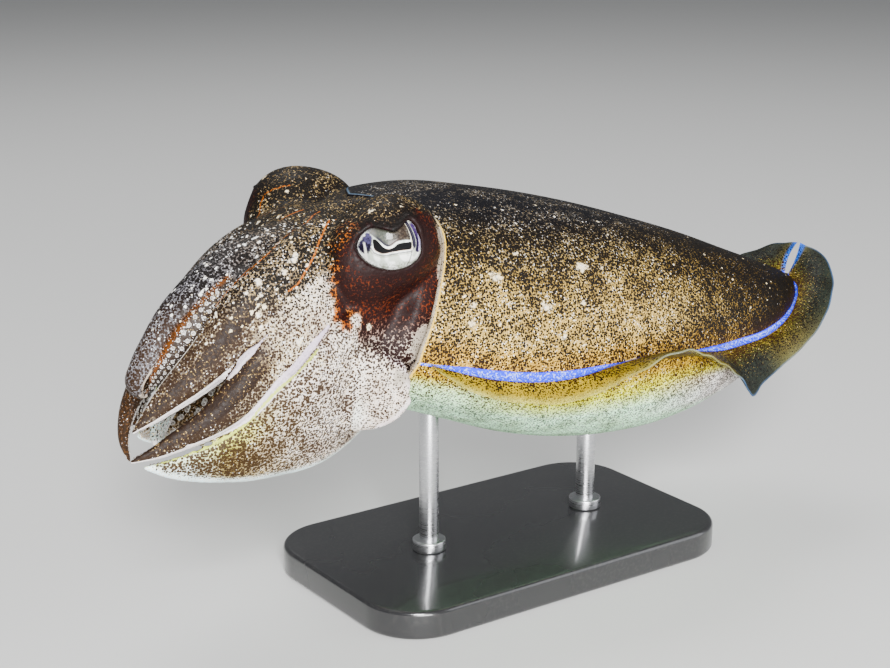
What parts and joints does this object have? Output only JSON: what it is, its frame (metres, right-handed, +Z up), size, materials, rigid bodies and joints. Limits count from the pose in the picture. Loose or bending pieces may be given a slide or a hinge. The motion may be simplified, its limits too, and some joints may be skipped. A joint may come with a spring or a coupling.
{
  "type": "pharaoh cuttlefish display model",
  "caption": "Life-size hovering pharaoh cuttlefish with waving side fins and drooping suckered arms, held above a flat display base by slim rods.",
  "frame": {"origin": "middle of the stand base's underside, on the floor", "axes": "+Z up, -X towards the tips of the animal's arms, so its left side faces -Y"},
  "size_m": [0.2673, 0.1071, 0.1271],
  "materials": {
    "mantle_skin": "moist olive-brown skin with gold and dark speckle, mint-white below",
    "head_skin": "moist taupe skin with white spots and a dark maroon patch round each eye",
    "arm_skin": "moist taupe skin with pale keels, darker brown at the tips",
    "fin_skin": "thin amber to grey-green membrane with a blue line along its root",
    "eye": "shiny cream and silver with a black curved pupil",
    "mouth": "moist pinkish brown",
    "stand_base": "smooth black",
    "stand_rod": "satin steel"
  },
  "bodies": {
    "root": {"mantle": "mantle_skin", "fin_left": "fin_skin", "fin_right": "fin_skin", "head": "head_skin", "eye_left": "eye", "eye_right": "eye", "mouth": "mouth", "funnel": "head_skin", "arm_left_1_base": "arm_skin", "arm_left_1_tip": "arm_skin", "arm_left_2_base": "arm_skin", "arm_left_2_tip": "arm_skin", "arm_left_3_base": "arm_skin", "arm_left_3_tip": "arm_skin", "arm_left_4_base": "arm_skin", "arm_left_4_tip": "arm_skin", "arm_right_1_base": "arm_skin", "arm_right_1_tip": "arm_skin", "arm_right_2_base": "arm_skin", "arm_right_2_tip": "arm_skin", "arm_right_3_base": "arm_skin", "arm_right_3_tip": "arm_skin", "arm_right_4_base": "arm_skin", "arm_right_4_tip": "arm_skin", "stand_base": "stand_base", "stand_rod_front": "stand_rod", "stand_rod_rear": "stand_rod"}
  },
  "joints": []
}
